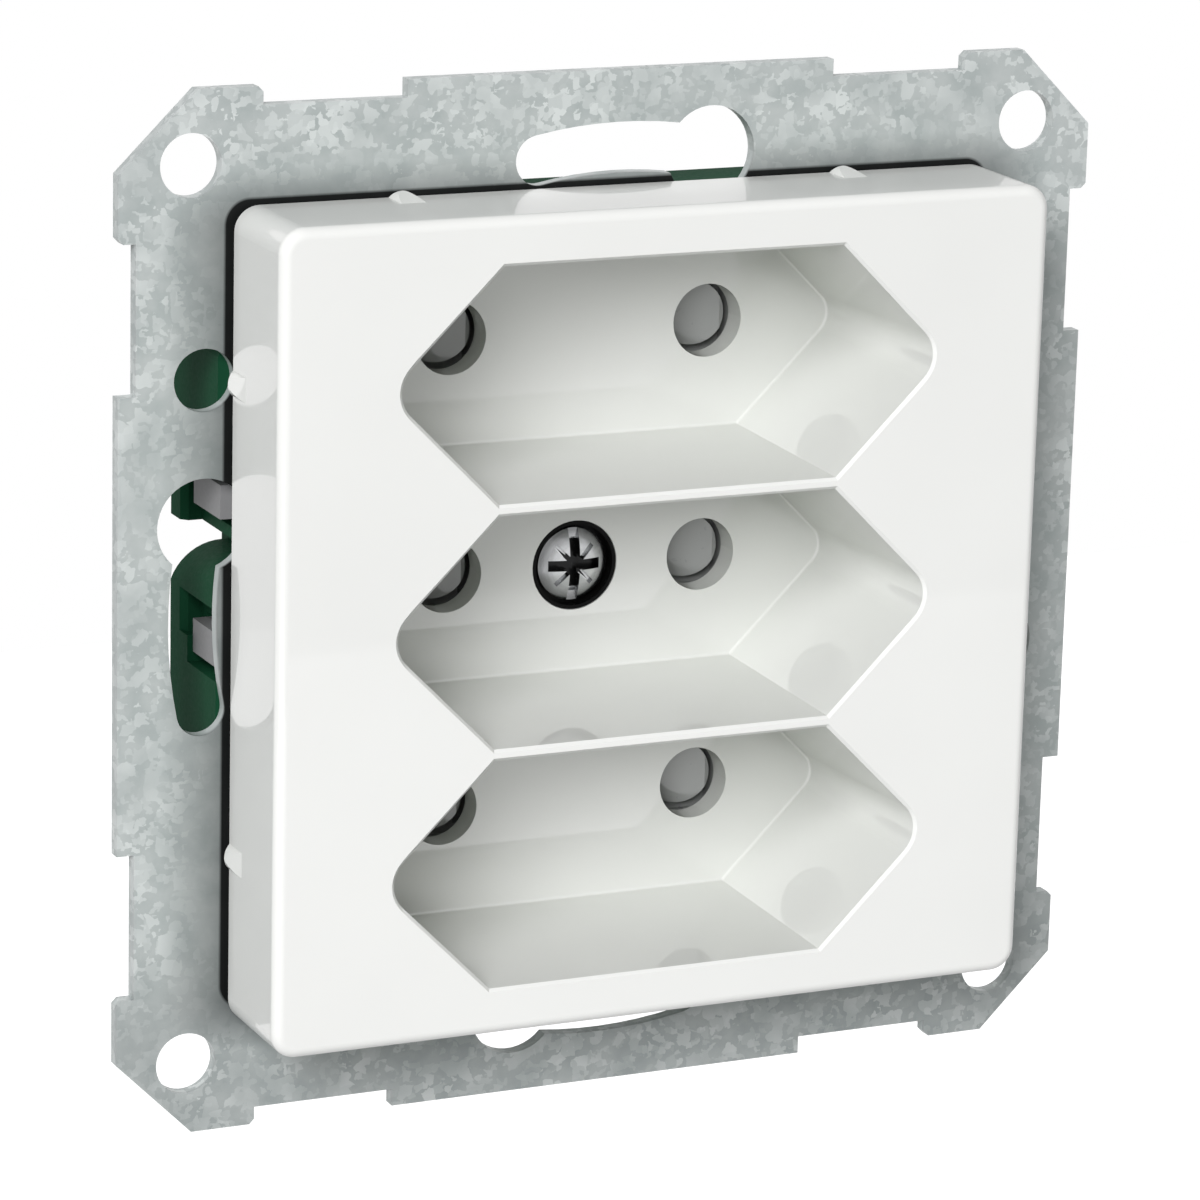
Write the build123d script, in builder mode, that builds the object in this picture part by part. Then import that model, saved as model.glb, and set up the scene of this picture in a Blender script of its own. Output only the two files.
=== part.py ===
from build123d import *
import os
from math import cos, radians, sin, sqrt, tan

# A flush wall socket for three flat two-pin plugs, one above the other.
# X runs to the right, Z runs up and Y runs into the wall.
# The back face of the mounting plate lies on Y = 0 and the middle plug place is on the Y axis.

# Plug places
pin_pitch = 19.0            # between the two pins of a plug
row_pitch = 16.5            # between one plug place and the next
pin_x = pin_pitch / 2
rows = (row_pitch, 0, -row_pitch)
row_names = ("upper", "middle", "lower")

# Wells of the cover, each a long hexagon with 45 degree ends
well_flat = 12.0            # half of the straight edge, at the floor
well_half_h = 7.42          # half height at the floor
well_tip_r = 1.75           # rounding of the two tips at the floor
well_draft = 1.72           # slope of the walls in degrees
well_depth = 14.98
well_floor_y = 5.03
well_floor_t = 2.0
well_wall = 0.9
floor_edge_r = 0.18
rim_break = 0.2             # small chamfer round the mouth of each well

# Cover
cover_border_x = 8.355      # from the tip of a well to the side
cover_border_z = 3.23       # from the edge of the outer wells to the top and bottom
cover_corner_r = 1.7
cover_front_r = 0.7
cover_side_t = 1.5
cover_front_t = 1.6
cover_lift = 0.46           # gap between the cover's edge and the plate
nose_at = 16.0              # snap noses, from the middle of each side
nose_w = 1.7
nose_out = 0.45
nose_run = 2.3
nose_lead = 0.25
pin_hole_d = 5.1

# Mounting plate
fixing_circle_d = 60.0      # circle of the curved screw slots
plate_border = 5.2          # from that circle to the plate's edge
plate_t = 1.0
plate_corner_cut = 5.3
corner_hole_inset = 4.9
plate_hole_d = 4.2
key_w = 3.4
key_head_d = 6.4
key_head_angle = 12.5       # above the horizontal through the middle
key_sweep = 24.0
side_hole_z = 16.2
notch_start = 15.4
notch_length = 10.0
notch_depth = 1.2
notch_break = 0.35
opening_r = 3.0
opening_clear_x = 1.1
opening_clear_z = 0.4

# Shutters
shutter_travel = 4.6
shutter_half_h = 4.0
shutter_depth = 2.9
shutter_web_t = 1.2
shutter_rail_w = 1.0
shutter_end_w = 1.75
shutter_nose_w = 0.8        # beyond the right plug
window_w = 4.5
window_h = 4.5
middle_window_h = 4.8
plug_d = 4.6
plug_bevel = 0.3
ramp_drop = 1.5
peg_d = 1.4
peg_length = 2.2
shutter_gap_front = 0.27
shutter_gap_back = 0.2
shutter_gap_side = 0.3
shutter_gap_end = 0.2

# Shutter springs
spring_wire_d = 0.35
spring_d = 2.8
spring_turns = 5.5
spring_seat_gap = 0.12
spring_bay = 2.7
spring_bay_clear = 0.5
spring_overrun = 0.7        # room left beyond the shutter at the end of its travel

# Carrier behind the cover
carrier_floor_t = 1.2
carrier_wall_x = 0.8
carrier_wall_z = 1.2
carrier_corner_cut = 2.8
carrier_pin_d = 4.6
arm_at = (-2.5, 7.7)        # heights of the two arms on the left side
arm_w = 2.3
arm_t = 1.1
arm_setback = 0.15          # behind the plate
arm_lug_depth = 5.0
arm_lug_inset = 0.3
arm_core_depth = 3.6
arm_clear = 0.25
arm_clear_low = 0.75

# Screws
bush_d = 6.2
bush_wall = 0.25
bush_height = 1.28
bush_floor_t = 0.38
fit_clear = 0.05
screw_head_d = 5.1
screw_rim_h = 0.5
screw_dome_h = 0.58
screw_d = 2.9
screw_length = 11.05
screw_clear = 0.35
cross_w = 0.75
cross_half = 1.9
cross_depth = 1.0
tick_half = 1.35
tick_w = 0.35
tick_depth = 0.35
nut_side = 5.5
nut_t = 2.4
nut_clear = 0.1
carrier_screw_head_d = 3.8
carrier_screw_head_h = 1.43
carrier_screw_d = 1.9
carrier_screw_length = 8.37
carrier_screw_clear = 0.25
carrier_recess_clear = 0.3
carrier_recess_depth = 1.6

# Base housing
frame_r = 33.0
frame_depth = 8.7
frame_wall_z = 1.1
cavity_clear_z = 0.23
cavity_cut = 8.4
cavity_depth_clear = 0.07
tray_clear = 0.3
tray_depth_clear = 0.05
step_wall_x = 1.1
step_wall_z = 1.7
step_floor_t = 1.25
block_wall_x = 2.0
block_wall_z = 2.0
block_edge_r = 1.5
block_back_cut = 1.0
back_wall_t = 3.1
channel_half_w = 3.4
channel_end = 4.0           # beyond the outer pins
channel_depth = 10.75
pin_bore_d = 5.6
pin_bore_depth = 1.9
pocket_spans = ((-2.6, 0.4), (4.5, 11.0))
pocket_depth = 1.4
pocket_run = 6.5
pocket_bevel = 0.45
slit_low = 2.95
slit_high = 5.0
slit_depth = 4.0
flare_front = (0.66, 0.45)  # width and drop of the rounded lower lip of the slit
flare_back = (3.6, 2.45)

# Rivets that join the plate and the base
rivet_edge = 2.8            # from the rivets to the side of the frame
rivet_tail_gap = 0.4        # between a rivet's tail and the step
rivet_z = 13.5
rivet_d = 2.6
rivet_head_d = 4.4
rivet_head_h = 0.32
rivet_tail_d = 4.0
rivet_tail_h = 0.5

# Contact rails
strip_t = 0.5
leaf_root = 2.05            # from the pin's axis to the inner face of a leaf
leaf_pinch = 1.9
leaf_mouth = 2.45
leaf_half_z = 2.6
leaf_mouth_y = 1.0          # behind the carrier
leaf_pinch_y = 3.2
leaf_root_y = 5.9
rail_width = 4.3
rail_over = 3.1             # beyond the outer pins
rail_floor_gap = 0.1
pad_width = 8.9
pad_half_z = 4.05
clip_t = 0.35
clip_gap = 0.06
clip_width = 1.4
clip_over = 0.3
clip_leg = 4.7

# Wire terminals, between the upper and the middle plug place
terminal_z = row_pitch / 2
wire_offset = 2.05
wire_hole_outset = 1.15     # from the pins' axis towards the side
wire_hole_x = pin_x + wire_hole_outset
wire_hole_d = 2.5
wire_hole_cut = 0.4
terminal_spring_t = 0.3
terminal_spring_half_z = 4.1
terminal_slit = 0.8
terminal_slit_l = 4.0
terminal_leg_gap = 0.1
terminal_leg = 6.5
terminal_bend_r = 0.6
terminal_reach_x = 4.95
terminal_reach_y = 5.3
terminal_top_gap = 1.9
lever_inset = 1.75          # from the pins' axis towards the middle
lever_x = pin_x - lever_inset
lever_stem_w = 1.6
lever_stem_h = 2.8
lever_bar_h = 7.2
lever_bar_t = 1.3
lever_seat_gap = 0.2
lever_slot_clear = 0.2
lever_out = 1.3
lever_nose_w = 0.8
lever_nose_l = 1.4
lever_edge_r = 0.3

# Derived sizes of the wells and the cover
draft = tan(radians(well_draft))
corner_share = tan(radians(22.5))
tip_share = sqrt(2) - 1
cover_front = well_floor_y - well_depth
cover_edge = -plate_t - cover_lift
floor_back = well_floor_y + well_floor_t


def well_half(y):
    return well_half_h + (well_floor_y - y) * draft


def well_tip(y):
    grown = (well_floor_y - y) * draft
    sharp = well_flat + well_half_h + grown * sqrt(2)
    return sharp - (well_tip_r + grown) * tip_share


cover_w = 2 * (well_tip(cover_front) + cover_border_x)
cover_h = 2 * (row_pitch + well_half(cover_front) + cover_border_z)

# Derived sizes of the plate
plate_side = fixing_circle_d + 2 * plate_border
key_r = fixing_circle_d / 2
key_head_x = key_r * cos(radians(key_head_angle))
corner_hole_pitch = plate_side - 2 * corner_hole_inset
opening_w = 2 * (well_tip(-plate_t) + well_wall + opening_clear_x)
opening_h = 2 * (row_pitch + well_half(-plate_t) + well_wall + opening_clear_z)

# Derived sizes of the shutters and the carrier
window_x = -pin_x - shutter_travel
shutter_left = window_x - window_w / 2 - shutter_end_w
shutter_right = pin_x + plug_d / 2 + shutter_nose_w
shutter_front = floor_back + shutter_gap_front
shutter_back = shutter_front + shutter_depth
shutter_web_y = shutter_back - shutter_web_t
box_left = shutter_left - shutter_gap_end
box_right = shutter_right + shutter_travel + spring_overrun
box_half_h = shutter_half_h + shutter_gap_side
box_floor = shutter_back + shutter_gap_back
bay_end = box_right + spring_bay
spring_y = box_floor - spring_d / 2 - spring_seat_gap
bay_half_h = spring_d / 2 + spring_bay_clear
carrier_half_x = bay_end + carrier_wall_x
carrier_half_z = row_pitch + box_half_h + carrier_wall_z
carrier_back = box_floor + carrier_floor_t

# Derived sizes of the base
cavity_half_x = carrier_half_x + tray_clear
cavity_half_z = row_pitch + well_half(0) + well_wall + cavity_clear_z
cavity_depth = floor_back + cavity_depth_clear
frame_half_z = cavity_half_z + frame_wall_z
tray_half_z = carrier_half_z + tray_clear
tray_floor = carrier_back + tray_depth_clear
step_back = tray_floor + step_floor_t
channel_floor = tray_floor + channel_depth
channel_inner = pin_x - channel_half_w
channel_outer = pin_x + channel_half_w
channel_half_z = row_pitch + channel_end
base_back = channel_floor + back_wall_t
rivet_x = cavity_half_x + step_wall_x + rivet_tail_gap + rivet_tail_d / 2
frame_half_x = rivet_x + rivet_edge
lug_end_x = frame_half_x - arm_lug_inset
carrier_screw_z = row_pitch / 2
strip_back = channel_floor - rail_floor_gap
pocket_back = pocket_run + pocket_bevel


# A plane across the depth, or the same one turned half round the Y axis:
# local X is X, local Y is Z, and a positive extrude comes forward
def face(y, turn=1):
    return Plane(origin=(0, y, 0), x_dir=(turn, 0, 0), z_dir=(0, -1, 0))


# A level plane, or the same one turned half round the Y axis
def level(z, turn=1):
    return Plane(origin=(0, 0, turn * z), x_dir=(turn, 0, 0), z_dir=(0, 0, turn))


# The six corners of a well, lengthened and heightened by the same step on every side
def well_corners(grow):
    flat = well_flat + grow * corner_share
    half = well_half_h + grow
    tip = flat + half
    return (flat, half), (-flat, half), (-tip, 0), (-flat, -half), (flat, -half), (tip, 0)


# Mounting plate, stamped from sheet steel
key_path = CenterArc((0, 0), key_r, 180 - key_head_angle, key_sweep)
with BuildPart() as mounting_plate:
    with BuildSketch(face(0)) as plate_outline:
        Rectangle(plate_side, plate_side)
        chamfer(plate_outline.vertices(), plate_corner_cut)
        with PolarLocations(plate_side / 2 - notch_depth / 2, 4):
            with Locations(*[(0, s * (notch_start + notch_length / 2)) for s in (1, -1)]):
                Rectangle(notch_depth, notch_length, mode=Mode.SUBTRACT)
        tab_corners = plate_outline.vertices().filter_by(
            lambda v: abs(max(abs(v.X), abs(v.Y)) - plate_side / 2) < fit_clear
            and abs(min(abs(v.X), abs(v.Y)) - notch_start - notch_length) < fit_clear
        )
        chamfer(tab_corners, notch_break)
        RectangleRounded(opening_w, opening_h, opening_r, mode=Mode.SUBTRACT)
        with GridLocations(corner_hole_pitch, corner_hole_pitch, 2, 2):
            Circle(plate_hole_d / 2, mode=Mode.SUBTRACT)
        with Locations((-key_head_x, side_hole_z), (key_head_x, -side_hole_z)):
            Circle(plate_hole_d / 2, mode=Mode.SUBTRACT)
        with GridLocations(2 * rivet_x, 2 * rivet_z, 2, 2):
            Circle(rivet_d / 2 + fit_clear, mode=Mode.SUBTRACT)
        with PolarLocations(0, 4):
            SlotArc(key_path, key_w, mode=Mode.SUBTRACT)
            with Locations((-key_head_x, key_r * sin(radians(key_head_angle)))):
                Circle(key_head_d / 2, mode=Mode.SUBTRACT)
    extrude(amount=plate_t)
mounting_plate.part.label = "mounting_plate"

# Rivets through the plate and the frame of the base
with BuildPart() as plate_rivets:
    with BuildSketch(face(frame_depth)):
        with GridLocations(2 * rivet_x, 2 * rivet_z, 2, 2):
            Circle(rivet_d / 2)
    extrude(amount=frame_depth + plate_t)
    with BuildSketch(face(-plate_t)):
        with GridLocations(2 * rivet_x, 2 * rivet_z, 2, 2):
            Circle(rivet_head_d / 2)
    extrude(amount=rivet_head_h)
    with BuildSketch(face(frame_depth)):
        with GridLocations(2 * rivet_x, 2 * rivet_z, 2, 2):
            Circle(rivet_tail_d / 2)
    extrude(amount=-rivet_tail_h)
plate_rivets.part.label = "plate_rivets"

# Snap nose of the cover, a short lead and a long slope towards the front, rounded across
nose_r = (nose_w**2 / 4 + nose_out**2) / (2 * nose_out)
with BuildPart() as nose:
    with BuildSketch(level(-nose_w / 2)):
        Polygon(
            (0, cover_edge),
            (nose_out, cover_edge - nose_lead),
            (0, cover_edge - nose_run),
            (-cover_side_t / 2, cover_edge - nose_run),
            (-cover_side_t / 2, cover_edge),
        )
    extrude(amount=nose_w)
    with BuildSketch(face(cover_edge)):
        with Locations((nose_out - nose_r, 0)):
            Circle(nose_r)
    extrude(amount=nose_run, mode=Mode.INTERSECT)

# Cover, one moulding with three deep wells that reach back through the plate
with BuildPart() as cover:
    with BuildSketch(face(cover_edge)):
        RectangleRounded(cover_w, cover_h, cover_corner_r)
    extrude(amount=cover_edge - cover_front)
    fillet(cover.faces().sort_by(Axis.Y)[0].edges(), cover_front_r)
    with BuildSketch(face(cover_edge)):
        RectangleRounded(
            cover_w - 2 * cover_side_t, cover_h - 2 * cover_side_t, cover_corner_r / 2
        )
    extrude(amount=cover_edge - cover_front - cover_front_t, mode=Mode.SUBTRACT)
    for row in rows:
        with BuildSketch(face(floor_back)) as well_body:
            with Locations((0, row)):
                Polygon(*well_corners(well_wall - well_floor_t * draft))
            tips = well_body.vertices().group_by(Axis.X)
            fillet(tips[0] + tips[-1], well_tip_r + well_wall)
        extrude(amount=floor_back - cover_front - cover_front_t / 2, taper=-well_draft)
    for row in rows:
        with BuildSketch(face(well_floor_y)) as well_hollow:
            with Locations((0, row)):
                Polygon(*well_corners(0))
            tips = well_hollow.vertices().group_by(Axis.X)
            fillet(tips[0] + tips[-1], well_tip_r)
        extrude(amount=well_depth, taper=-well_draft, mode=Mode.SUBTRACT)
    floors = cover.faces().filter_by(Plane.XZ).filter_by_position(
        Axis.Y, well_floor_y - fit_clear, well_floor_y + fit_clear
    )
    fillet(floors.edges(), floor_edge_r)
    rims = cover.faces().sort_by(Axis.Y)[0].inner_wires().edges()
    chamfer(rims, rim_break)
    with BuildSketch(face(floor_back)):
        with GridLocations(pin_pitch, row_pitch, 2, len(rows)):
            Circle(pin_hole_d / 2)
        Circle(screw_d / 2 + screw_clear)
    extrude(amount=well_floor_t, mode=Mode.SUBTRACT)
    with BuildSketch(face(well_floor_y)):
        Circle(bush_d / 2 + fit_clear)
    extrude(amount=-bush_height - fit_clear, mode=Mode.SUBTRACT)
    for at in (nose_at, -nose_at):
        with Locations(
            Location((cover_w / 2, 0, at)),
            Location((-cover_w / 2, 0, at), (0, 180, 0)),
            Location((at, 0, cover_h / 2), (0, -90, 0)),
            Location((at, 0, -cover_h / 2), (0, 90, 0)),
        ):
            add(nose.part)
cover.part.label = "cover"

# Bush round the head of the cover screw
bush_back = well_floor_y + bush_height + fit_clear
head_seat = bush_back - bush_floor_t
with BuildPart() as screw_bush:
    with BuildSketch(face(bush_back)):
        Circle(bush_d / 2)
    extrude(amount=bush_height)
    with BuildSketch(face(head_seat)):
        Circle(bush_d / 2 - bush_wall)
    extrude(amount=bush_height, mode=Mode.SUBTRACT)
    Cylinder(
        screw_d / 2 + screw_clear - fit_clear, 2 * bush_back + bush_floor_t,
        rotation=(90, 0, 0), mode=Mode.SUBTRACT,
    )
screw_bush.part.label = "screw_bush"

# Cover screw with a domed head, a cross recess and a slot across the dome
head_rim = head_seat - screw_rim_h
with BuildPart() as cover_screw:
    with BuildSketch(Plane.XY):
        with BuildLine():
            dome = ThreePointArc(
                (0, head_rim - screw_dome_h),
                (screw_head_d / 4, head_rim - screw_dome_h * 3 / 4),
                (screw_head_d / 2, head_rim),
            )
            Polyline(
                dome @ 1,
                (screw_head_d / 2, head_seat),
                (screw_d / 2, head_seat),
                (screw_d / 2, head_seat + screw_length - screw_d / 4),
                (screw_d / 4, head_seat + screw_length),
                (0, head_seat + screw_length),
                dome @ 0,
            )
        make_face()
    revolve(axis=Axis.Y)
    with BuildSketch(face(head_rim - screw_dome_h)):
        Rectangle(2 * cross_half, cross_w)
        Rectangle(cross_w, 2 * cross_half)
    extrude(amount=-cross_depth, mode=Mode.SUBTRACT)
    with BuildSketch(face(head_rim - screw_dome_h)):
        Rectangle(cross_w, screw_head_d)
        Rectangle(2 * tick_half * sqrt(2), tick_w, rotation=45)
        Rectangle(2 * tick_half * sqrt(2), tick_w, rotation=-45)
    extrude(amount=-screw_dome_h / 2 - tick_depth, mode=Mode.SUBTRACT)
cover_screw.part.label = "cover_screw"

# Square nut held behind the carrier
with BuildPart() as cover_nut:
    with BuildSketch(face(carrier_back + nut_t)):
        Rectangle(nut_side, nut_side)
        Circle(screw_d / 2 + fit_clear, mode=Mode.SUBTRACT)
    extrude(amount=nut_t)
cover_nut.part.label = "cover_nut"

# Carrier, a tray with one guide box per shutter and two latch arms on each side
with BuildPart() as carrier:
    with BuildSketch(face(carrier_back)) as tray_outline:
        Rectangle(2 * carrier_half_x, 2 * carrier_half_z)
        chamfer(tray_outline.vertices(), carrier_corner_cut)
    extrude(amount=carrier_back - floor_back)
    with BuildSketch(face(box_floor)):
        for row in rows:
            with Locations(((box_left + box_right) / 2, row)):
                Rectangle(box_right - box_left, 2 * box_half_h)
            with Locations(((box_right + bay_end) / 2, row)):
                Rectangle(bay_end - box_right, 2 * bay_half_h)
    extrude(amount=box_floor - floor_back, mode=Mode.SUBTRACT)
    with BuildSketch(face(carrier_back)):
        with GridLocations(pin_pitch, row_pitch, 2, len(rows)):
            Circle(carrier_pin_d / 2)
        Circle(screw_d / 2 + screw_clear)
        with GridLocations(0, 2 * carrier_screw_z, 1, 2):
            Circle(carrier_screw_d / 2 + carrier_screw_clear)
    extrude(amount=carrier_back - floor_back, mode=Mode.SUBTRACT)
    with BuildSketch(face(floor_back + carrier_recess_depth)):
        with GridLocations(0, 2 * carrier_screw_z, 1, 2):
            Circle(carrier_screw_head_d / 2 + carrier_recess_clear)
    extrude(amount=carrier_recess_depth, mode=Mode.SUBTRACT)
    for at in arm_at:
        with BuildSketch(level(at - arm_w / 2), level(at - arm_w / 2, -1)):
            with BuildLine():
                Polyline(
                    (-carrier_half_x, floor_back + arm_t),
                    (-carrier_half_x, arm_setback + arm_lug_depth),
                    (-lug_end_x, arm_setback + arm_lug_depth),
                    (-lug_end_x, arm_setback),
                    (-carrier_half_x + arm_t, arm_setback),
                    (-carrier_half_x + arm_t, floor_back + arm_t),
                    close=True,
                )
            make_face()
        extrude(amount=arm_w)
        core_outer = lug_end_x - arm_t
        core_inner = carrier_half_x
        for turn in (1, -1):
            with BuildSketch(face(arm_setback + arm_core_depth, turn)):
                with Locations((-(core_outer + core_inner) / 2, at)):
                    Rectangle(core_outer - core_inner, arm_w - arm_t)
            extrude(amount=arm_core_depth, mode=Mode.SUBTRACT)
carrier.part.label = "carrier"

# Screws that hold the carrier in the base
carrier_screw_seat = floor_back + carrier_recess_depth
with BuildPart() as carrier_screws:
    with BuildSketch(face(carrier_screw_seat)):
        with GridLocations(0, 2 * carrier_screw_z, 1, 2):
            Circle(carrier_screw_head_d / 2)
    extrude(amount=carrier_screw_head_h)
    with BuildSketch(face(carrier_screw_seat)):
        with GridLocations(0, 2 * carrier_screw_z, 1, 2):
            Circle(carrier_screw_d / 2)
    extrude(amount=-carrier_screw_length)
    with BuildSketch(face(carrier_screw_seat - carrier_screw_head_h)):
        with GridLocations(0, 2 * carrier_screw_z, 1, 2):
            Rectangle(carrier_screw_head_d * 2 / 3, tick_w)
            Rectangle(tick_w, carrier_screw_head_d * 2 / 3)
    extrude(amount=-carrier_screw_head_h / 2, mode=Mode.SUBTRACT)
carrier_screws.part.label = "carrier_screws"


# A shutter slides to the right when two pins press on its ramps at the same time
def make_shutter(row):
    with BuildPart() as shutter:
        with BuildSketch(face(shutter_back)):
            with Locations(((shutter_left + shutter_right) / 2, row)):
                Rectangle(shutter_right - shutter_left, 2 * shutter_half_h)
        extrude(amount=shutter_depth)
        inner_left = shutter_left + shutter_rail_w
        inner_right = shutter_right - shutter_nose_w / 2
        with BuildSketch(face(shutter_web_y)):
            with Locations(((inner_left + inner_right) / 2, row)):
                Rectangle(inner_right - inner_left, 2 * (shutter_half_h - shutter_rail_w))
        extrude(amount=shutter_depth, mode=Mode.SUBTRACT)
        with BuildSketch(face(shutter_web_y)):
            with Locations((-pin_x, row), (pin_x, row)):
                Circle(plug_d / 2)
        extrude(amount=shutter_web_y - shutter_front)
        with BuildSketch(face(shutter_back)):
            with Locations((window_x, row)):
                Rectangle(window_w, window_h)
            middle_left = -pin_x + plug_d / 2 + shutter_gap_end
            middle_right = pin_x - shutter_travel + window_w / 2
            with Locations(((middle_left + middle_right) / 2, row)):
                Rectangle(middle_right - middle_left, middle_window_h)
        extrude(amount=shutter_web_t, mode=Mode.SUBTRACT)
        # The ramps, high on the right and low on the left
        with BuildSketch(level(row - plug_d / 2 - plug_bevel)):
            for pin in (-pin_x, pin_x):
                with BuildLine():
                    Polyline(
                        (pin - plug_d / 2 - plug_bevel, shutter_front - plug_bevel),
                        (pin + plug_d / 2 - plug_bevel, shutter_front - plug_bevel),
                        (pin + plug_d / 2 - plug_bevel, shutter_front),
                        (pin - plug_d / 2, shutter_front + ramp_drop),
                        (pin - plug_d / 2 - plug_bevel, shutter_front + ramp_drop),
                        close=True,
                    )
                make_face()
        extrude(amount=plug_d + 2 * plug_bevel, mode=Mode.SUBTRACT)
        with BuildSketch(Plane.YZ.offset(shutter_right)):
            with Locations((spring_y, row)):
                Circle(peg_d / 2)
        extrude(amount=peg_length)
    return shutter.part


# The spring that returns a shutter, a plain helix between the shutter and the end of its bay
def make_spring(row):
    start = shutter_right + spring_seat_gap + spring_wire_d / 2
    length = bay_end - spring_seat_gap - spring_wire_d / 2 - start
    coil_r = (spring_d - spring_wire_d) / 2
    with BuildPart() as spring:
        with BuildLine():
            coil = Helix(
                length / spring_turns, length, coil_r,
                center=(start, spring_y, row), direction=(1, 0, 0),
            )
        with BuildSketch(Plane(origin=coil @ 0, z_dir=coil % 0)):
            Circle(spring_wire_d / 2)
        sweep(is_frenet=True)
    return spring.part


# Base housing, a frame behind the plate, a step for the tray and a deep block for the contacts
lug_channel_w = arm_w + arm_clear + arm_clear_low
lug_channel_drop = (arm_clear_low - arm_clear) / 2
with BuildPart() as base_housing:
    with BuildSketch(face(base_back)) as block_outline:
        Rectangle(2 * (channel_outer + block_wall_x), 2 * (channel_half_z + block_wall_z))
        fillet(block_outline.vertices(), block_edge_r)
    extrude(amount=base_back - frame_depth)
    chamfer(base_housing.faces().sort_by(Axis.Y)[-1].edges(), block_back_cut)
    with BuildSketch(face(step_back)):
        RectangleRounded(
            2 * (cavity_half_x + step_wall_x), 2 * (tray_half_z + step_wall_z), block_edge_r
        )
    extrude(amount=step_back - frame_depth / 2)
    with BuildSketch(face(frame_depth)):
        Rectangle(2 * frame_half_x, 2 * frame_half_z)
        Circle(frame_r, mode=Mode.INTERSECT)
    extrude(amount=frame_depth)
    with BuildSketch(face(cavity_depth)) as cavity_outline:
        Rectangle(2 * cavity_half_x, 2 * cavity_half_z)
        chamfer(cavity_outline.vertices(), cavity_cut)
        with BuildSketch(mode=Mode.PRIVATE) as tray_corners:
            Rectangle(2 * cavity_half_x, 2 * tray_half_z)
            chamfer(tray_corners.vertices(), carrier_corner_cut)
        add(tray_corners.sketch)
    extrude(amount=cavity_depth, mode=Mode.SUBTRACT)
    with BuildSketch(face(tray_floor)) as tray_pocket:
        Rectangle(2 * cavity_half_x, 2 * tray_half_z)
        chamfer(tray_pocket.vertices(), carrier_corner_cut)
    extrude(amount=tray_floor, mode=Mode.SUBTRACT)
    # Two channels for the contact rails, with a shallow bore behind each pin
    with BuildSketch(face(channel_floor)):
        with Locations((-pin_x, 0), (pin_x, 0)):
            Rectangle(2 * channel_half_w, 2 * channel_half_z)
    extrude(amount=channel_depth, mode=Mode.SUBTRACT)
    with BuildSketch(face(channel_floor + pin_bore_depth)):
        with GridLocations(pin_pitch, row_pitch, 2, len(rows)):
            Circle(pin_bore_d / 2)
    extrude(amount=pin_bore_depth, mode=Mode.SUBTRACT)
    # Nut pocket, screw bore and the pilot holes of the carrier screws
    with BuildSketch(face(carrier_back + nut_t + nut_clear)):
        Rectangle(nut_side + 2 * nut_clear, nut_side + 2 * nut_clear)
    extrude(amount=nut_t + nut_clear, mode=Mode.SUBTRACT)
    with BuildSketch(face(head_seat + screw_length + screw_clear)):
        Circle(screw_d / 2 + screw_clear)
    extrude(amount=screw_length, mode=Mode.SUBTRACT)
    with BuildSketch(face(carrier_screw_seat + carrier_screw_length + carrier_screw_clear)):
        with GridLocations(0, 2 * carrier_screw_z, 1, 2):
            Circle(carrier_screw_d / 2 + fit_clear)
    extrude(amount=carrier_screw_length, mode=Mode.SUBTRACT)
    # Channels for the carrier's arms, open to the front and to the sides
    channel_mid = (frame_half_x + cavity_half_x - arm_t) / 2
    with BuildSketch(face(arm_setback + arm_lug_depth + arm_clear)):
        with PolarLocations(0, 2):
            with Locations(*[(-channel_mid, at - lug_channel_drop) for at in arm_at]):
                Rectangle(frame_half_x - cavity_half_x + arm_t, lug_channel_w)
    extrude(amount=arm_setback + arm_lug_depth + arm_clear, mode=Mode.SUBTRACT)
    # Finger pockets in the sides, with a bevelled end
    for low, high in pocket_spans:
        with BuildSketch(level(low), level(low, -1)):
            with BuildLine():
                Polyline(
                    (-frame_half_x - pocket_depth, 0),
                    (-frame_half_x + pocket_depth, 0),
                    (-frame_half_x + pocket_depth, pocket_run),
                    (-frame_half_x + pocket_bevel, pocket_run),
                    (-frame_half_x, pocket_back),
                    (-frame_half_x - pocket_depth, pocket_back),
                    close=True,
                )
            make_face()
        extrude(amount=high - low, mode=Mode.SUBTRACT)
    # A slit from front to back, with a rounded lower lip that widens behind
    slit_end = -frame_half_x + slit_depth
    slit_outer = -frame_half_x - pocket_depth
    for turn in (1, -1):
        for y, (reach, drop) in ((0, flare_front), (frame_depth, flare_back)):
            with BuildSketch(face(y, turn)):
                with BuildLine():
                    lip = TangentArc(
                        (-frame_half_x + reach, slit_low), (-frame_half_x, slit_low - drop),
                        tangent=(-1, 0),
                    )
                    Polyline(
                        lip @ 1,
                        (slit_outer, slit_low - drop),
                        (slit_outer, slit_high),
                        (slit_end, slit_high),
                        (slit_end, slit_low),
                        lip @ 0,
                    )
                make_face()
        loft(ruled=True, mode=Mode.SUBTRACT)
    with BuildSketch(face(frame_depth)):
        with GridLocations(2 * rivet_x, 2 * rivet_z, 2, 2):
            Circle(rivet_d / 2 + fit_clear)
    extrude(amount=frame_depth, mode=Mode.SUBTRACT)
    # Wire entries and lever slots in the back wall
    wire_points = [(s * wire_hole_x, terminal_z + w) for s in (-1, 1) for w in (-wire_offset, wire_offset)]
    with BuildSketch(face(base_back)):
        with Locations(*wire_points):
            Circle(wire_hole_d / 2)
        with Locations((-lever_x, terminal_z), (lever_x, terminal_z)):
            Rectangle(lever_stem_w + 2 * lever_slot_clear, lever_stem_h + 2 * lever_slot_clear)
    extrude(amount=back_wall_t, mode=Mode.SUBTRACT)
    with BuildSketch(face(base_back)):
        with Locations(*wire_points):
            Circle(wire_hole_d / 2 + wire_hole_cut)
    extrude(amount=wire_hole_cut, taper=45, mode=Mode.SUBTRACT)
base_housing.part.label = "base_housing"


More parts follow.
